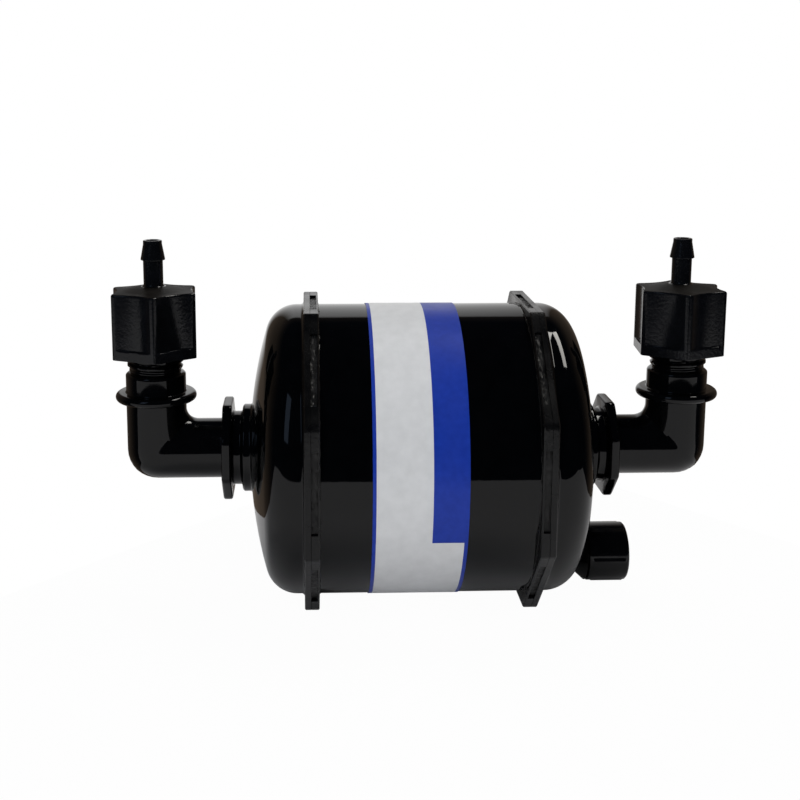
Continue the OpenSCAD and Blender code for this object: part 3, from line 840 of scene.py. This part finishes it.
def label_material():
    """Pale film with a plain blue panel, a thin line on one edge and a stripe on the other."""
    mat, tree, shader = new_material("label_film")
    coords = node(tree, "ShaderNodeTexCoord").outputs["Object"]
    split = node(tree, "ShaderNodeSeparateXYZ")
    tree.links.new(coords, split.inputs["Vector"])
    x = split.outputs["X"]
    height = math_node(tree, "SUBTRACT", split.outputs["Z"], AXIS_Z * MM)
    front = math_node(tree, "MULTIPLY", split.outputs["Y"], -1.0)
    angle = math_node(tree, "ARCTAN2", height, front)
    beside = math_node(tree, "GREATER_THAN", x, LABEL_PANEL_X * MM)
    above = math_node(tree, "GREATER_THAN", angle, math.radians(LABEL_PANEL_END))
    on_panel = math_node(tree, "MULTIPLY", beside, above)
    left_line = math_node(tree, "LESS_THAN", x, (LABEL_X0 + LABEL_STRIPE_W) * MM)
    right_line = math_node(tree, "GREATER_THAN", x, (LABEL_X1 - LABEL_STRIPE_W) * MM)
    inked = math_node(tree, "MAXIMUM", on_panel, math_node(tree, "MAXIMUM", left_line, right_line))
    fibre = noise_node(tree, coords, FILM_FIBRE_SCALE)
    paper = ramp(tree, fibre, *FILM_SPREAD, *FILM_PAPER)
    grain = noise_node(tree, coords, FILM_GRAIN_SCALE)
    ink = ramp(tree, grain, *FILM_SPREAD, *FILM_INK)
    tree.links.new(mixed(tree, inked, paper, ink), shader.inputs["Base Color"])
    gloss = noise_node(tree, coords, FILM_GLOSS_SCALE)
    tree.links.new(map_range(tree, gloss, *FILM_GLOSS_SPREAD, *FILM_ROUGH), shader.inputs["Roughness"])
    add_bump(tree, shader, noise_node(tree, coords, FILM_CREASE_SCALE), FILM_BUMP, FILM_BUMP_M)
    shader.inputs["Specular IOR Level"].default_value = FILM_SPECULAR
    return mat


SHELL = plastic(
    "shell_black", (0.0004, 0.0005, 0.0006), (0.0007, 0.0008, 0.001),
    rough=(0.035, 0.07), specular=0.34, bump_scale=900.0, bump=0.03,
)
ELBOW = plastic(
    "elbow_black", (0.0005, 0.0006, 0.0007), (0.0009, 0.001, 0.0012),
    rough=(0.06, 0.1), specular=0.34, bump_scale=900.0, bump=0.04,
)
NUT = plastic(
    "nut_black", (0.0018, 0.0021, 0.0027), (0.0032, 0.0036, 0.0046),
    rough=(0.13, 0.22), specular=0.36, bump_scale=1600.0, bump=0.25,
)
# Nut crowns: a matt finish whose warmer, lighter base colour is a painted sheen, the backdrop's reflection
# on the tops
NUT_MATT_PAINTED_SHEEN = plastic(
    "nut_top_painted_sheen", (0.005, 0.0044, 0.0038), (0.009, 0.0079, 0.0068),
    rough=(0.5, 0.65), specular=0.15, bump_scale=1600.0, bump=0.3,
)
VENT = plastic(
    "vent_black", (0.001, 0.0011, 0.0013), (0.0022, 0.0024, 0.0027),
    rough=(0.12, 0.2), specular=0.34, bump_scale=1400.0, bump=0.1,
)
FLANGE = plastic(
    "flange_black", (0.0012, 0.0013, 0.0015), (0.004, 0.004, 0.004),
    rough=(0.18, 0.34), specular=0.34, bump_scale=1500.0, bump=0.35,
)
WELD = plastic(
    "weld_black", (0.002, 0.002, 0.002), (0.013, 0.0128, 0.0125),
    rough=(0.3, 0.5), specular=0.34, bump_scale=1200.0, bump=0.6,
)
RUBBER = plastic(
    "seal_rubber", (0.012, 0.012, 0.012), (0.02, 0.02, 0.02),
    rough=(0.6, 0.75), specular=0.3, bump_scale=1800.0, bump=0.3,
)
ELEMENT = plastic(
    "element_white", (0.72, 0.72, 0.7), (0.8, 0.8, 0.78),
    rough=(0.4, 0.5), specular=0.4, bump_scale=1200.0, bump=0.1,
)
MEDIA = plastic(
    "media_white", (0.78, 0.78, 0.74), (0.86, 0.86, 0.83),
    rough=(0.8, 0.9), specular=0.2, bump_scale=2600.0, bump=0.5,
)
LABEL = label_material()


def dress(obj, mat, body, slot, *nodes):
    obj.data.materials.clear()
    obj.data.materials.append(mat)
    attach(obj, body)
    if nodes:
        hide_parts(*nodes)


def second_finish(obj, mat, is_there):
    """Gives the faces at some places a material of their own: a different finish, and on the nuts' crowns
    also a painted sheen.
    """
    obj.data.materials.append(mat)
    for face in obj.data.polygons:
        if is_there(*(v / MM for v in face.center)):
            face.material_index = 1


# Margins round the places that have a finish of their own; on the nuts' crowns that finish also carries a
# painted sheen
FLANGE_MARGIN = 0.02
FLANGE_LIFT = 0.05
CROWN_MARGIN = 0.05
CROWN_INNER = 0.2


def on_flange(x, y, z):
    """Faces of the weld flanges, outside the barrel and the dome."""
    between = BARREL_HALF - FLANGE_MARGIN < abs(x) < CAP_FACE_X + FLANGE_MARGIN
    return between and math.hypot(y, z - AXIS_Z) > BARREL_R + FLANGE_LIFT


def on_crown(x, y, z):
    """Faces of the low cone on top of a nut."""
    between = NUT_TOP - CROWN_MARGIN < z - AXIS_Z < STEM_Z
    return between and math.hypot(abs(x) - LEG_X, y) > CROWN_TOP_R - CROWN_INNER


# Pieces
barrel = make_barrel()
dress(barrel, SHELL, "housing", "shell_black", "barrel")
second_finish(barrel, FLANGE, on_flange)
for name, rings, cad_node in (
    ("inlet_cap_dome", cap_rings(False), "inlet_end_cap"),
    ("outlet_cap_dome", mirrored(cap_rings(True)), "outlet_end_cap"),
):
    dome = loft(name, rings)
    dress(dome, SHELL, "housing", "shell_black", cad_node)
    second_finish(dome, FLANGE, on_flange)
dress(make_weld("inlet_weld_flash", 1), WELD, "housing", "shell_black")
dress(make_weld("outlet_weld_flash", -1), WELD, "housing", "shell_black")
dress(make_vent_boss(), SHELL, "housing", "shell_black")
elbow = elbow_rings()
dress(loft("inlet_elbow_tube", elbow), ELBOW, "housing", "elbow_black", "inlet_elbow")
dress(loft("outlet_elbow_tube", mirrored(elbow)), ELBOW, "housing", "elbow_black", "outlet_elbow")
nut = nut_rings()
for name, rings, body, cad_node in (
    ("inlet_nut_barb", nut, "inlet_nut", "inlet_barb_nut"),
    ("outlet_nut_barb", mirrored(nut), "outlet_nut", "outlet_barb_nut"),
):
    barb_nut = loft(name, rings, sharp=NUT_CREASE)
    dress(barb_nut, NUT, body, "nut_black", cad_node)
    # The crown gets the matt material with the painted sheen in its colour
    second_finish(barb_nut, NUT_MATT_PAINTED_SHEEN, on_crown)
dress(make_vent_cap(), VENT, "vent_knob", "vent_black", "vent_cap")
dress(make_label(), LABEL, "housing", "label_film", "label")

INNER = {
    "inlet_nut_gasket": RUBBER,
    "outlet_nut_gasket": RUBBER,
    "vent_seal": RUBBER,
    "nozzle_ring": RUBBER,
    "pleated_media": MEDIA,
    "core_tube": ELEMENT,
    "outer_cage": ELEMENT,
    "closed_end_disc": ELEMENT,
    "open_end_disc": ELEMENT,
}
for name, mat in INNER.items():
    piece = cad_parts[name]
    piece.data.materials.clear()
    piece.data.materials.append(mat)


# Camera
def make_camera():
    yaw = math.radians(CAMERA_YAW)
    pitch = math.radians(CAMERA_PITCH)
    roll = math.radians(CAMERA_ROLL)
    ahead = Vector((math.sin(yaw) * math.cos(pitch), math.cos(yaw) * math.cos(pitch), -math.sin(pitch)))
    right = Vector((math.cos(yaw), -math.sin(yaw), 0))
    down = ahead.cross(right)
    right_rolled = right * math.cos(roll) + down * math.sin(roll)
    down_rolled = down * math.cos(roll) - right * math.sin(roll)
    data = bpy.data.cameras.new("camera")
    data.lens = CAMERA_LENS
    data.sensor_width = SENSOR_WIDTH
    data.shift_x, data.shift_y = CAMERA_SHIFT
    data.clip_start = CLIP_START
    cam = bpy.data.objects.new("camera", data)
    turn = Matrix((right_rolled, -down_rolled, -ahead)).transposed().to_4x4()
    cam.matrix_world = Matrix.Translation(Vector(CAMERA_AT) * MM) @ turn
    bpy.context.scene.collection.objects.link(cam)
    bpy.context.scene.camera = cam


make_camera()

# Floor: a pale sheet, nearly white to the camera so that the object's shadow still shows on it
FLOOR_EDGE = (
    (-400, -225), (300, -225), (300, -110), (120, -10), (45, 90), (-10, 90), (-100, -12), (-400, -120),
)
FLOOR_PAPER = (0.75, 0.75, 0.76, 1)
FLOOR_WHITE_SHARE = 0.975


def make_floor():
    bm = bmesh.new()
    bm.faces.new([bm.verts.new((x, y, 0)) for x, y in FLOOR_EDGE])
    floor = finish_mesh("floor", bm)
    mat = bpy.data.materials.new("floor_paper")
    mat.use_nodes = True
    tree = mat.node_tree
    tree.nodes.clear()
    out = node(tree, "ShaderNodeOutputMaterial")
    paper = node(tree, "ShaderNodeBsdfDiffuse")
    paper.inputs["Color"].default_value = FLOOR_PAPER
    white = node(tree, "ShaderNodeEmission")
    mix = node(tree, "ShaderNodeMixShader")
    path = node(tree, "ShaderNodeLightPath")
    share = math_node(tree, "MULTIPLY", path.outputs["Is Camera Ray"], FLOOR_WHITE_SHARE)
    tree.links.new(share, mix.inputs[0])
    tree.links.new(paper.outputs[0], mix.inputs[1])
    tree.links.new(white.outputs[0], mix.inputs[2])
    tree.links.new(mix.outputs[0], out.inputs["Surface"])
    floor.data.materials.append(mat)


make_floor()

# World: white to the camera, and for reflections a white backdrop behind the object in a dim room.
# Heights and sides of the backdrop are in degrees; the room's brown part is given by direction cosines.
BACKDROP_FOOT = (-20.0, -10.0)
BACKDROP_TOP = 38.5
BACKDROP_BLUR = 1.5
BACKDROP_SIDE = 5.0
BACKDROP_END = 19.0
BACKDROP_WHITE = (0.9, 0.9, 0.9)
ROOM_DARK = (0.007, 0.009, 0.016)
ROOM_BROWN = (0.11, 0.085, 0.065)
BROWN_FACING = (-0.1, 0.4)
BROWN_HEIGHT = (0.75, 0.5)


def make_world():
    world = bpy.data.worlds.new("studio")
    bpy.context.scene.world = world
    world.use_nodes = True
    tree = world.node_tree
    back = tree.nodes["Background"]
    split = node(tree, "ShaderNodeSeparateXYZ")
    tree.links.new(node(tree, "ShaderNodeTexCoord").outputs["Generated"], split.inputs["Vector"])
    x, y, z = split.outputs
    squares = [math_node(tree, "MULTIPLY", way, way) for way in (x, y)]
    flat = math_node(tree, "SQRT", math_node(tree, "ADD", *squares))
    facing = math_node(tree, "DIVIDE", y, flat)
    edges = (BACKDROP_TOP + BACKDROP_BLUR, BACKDROP_TOP - BACKDROP_BLUR)
    low = map_range(tree, z, *(math.sin(math.radians(a)) for a in edges))
    near = map_range(tree, facing, *(math.cos(math.radians(a)) for a in (BACKDROP_END, BACKDROP_SIDE)))
    high = map_range(tree, z, *(math.sin(math.radians(a)) for a in BACKDROP_FOOT))
    lit = math_node(tree, "MULTIPLY", math_node(tree, "MULTIPLY", low, near), high)
    ahead = map_range(tree, facing, *BROWN_FACING)
    below = map_range(tree, z, *BROWN_HEIGHT)
    room = mixed(tree, math_node(tree, "MULTIPLY", ahead, below), ROOM_DARK, ROOM_BROWN)
    seen = mixed(tree, lit, room, BACKDROP_WHITE)
    path = node(tree, "ShaderNodeLightPath")
    tree.links.new(mixed(tree, path.outputs["Is Camera Ray"], seen, (1, 1, 1)), back.inputs["Color"])


make_world()

# Lamps
LIGHT_AIM = Vector((0, 0, 0.035))


def area_light(name, azimuth, elevation, distance, size, power, colour=(1, 1, 1), glossy=False):
    """Lamp aimed at the object; azimuth from the front towards the inlet side, size as width and height."""
    az = math.radians(azimuth)
    el = math.radians(elevation)
    way = Vector((math.sin(az) * math.cos(el), -math.cos(az) * math.cos(el), math.sin(el)))
    data = bpy.data.lights.new(name, "AREA")
    data.shape = "RECTANGLE" if glossy else "ELLIPSE"
    data.size, data.size_y = size
    data.energy = power
    data.color = colour
    lamp = bpy.data.objects.new(name, data)
    lamp.location = LIGHT_AIM + way * distance
    lamp.rotation_mode = "QUATERNION"
    lamp.rotation_quaternion = (-way).to_track_quat("-Z", "Y")
    lamp.visible_glossy = glossy
    bpy.context.scene.collection.objects.link(lamp)


area_light("key", azimuth=-29, elevation=43, distance=1.4, size=(0.9, 0.9), power=6.0)
area_light("fill", azimuth=49, elevation=36, distance=1.3, size=(0.9, 0.9), power=2.0)
area_light("front", azimuth=-30, elevation=5, distance=1.2, size=(0.7, 0.7), power=6.5)
area_light("top", azimuth=166, elevation=70, distance=1.24, size=(0.8, 0.8), power=4.5)
area_light(
    "window", azimuth=-37, elevation=34, distance=1.2, size=(0.3, 0.75), power=0.45,
    colour=(0.55, 0.72, 1.0), glossy=True,
)
area_light(
    "softbox", azimuth=112, elevation=63, distance=1.0, size=(0.6, 0.16), power=2.8,
    colour=(1.0, 0.97, 0.92), glossy=True,
)

bpy.context.scene.view_settings.view_transform = "Standard"
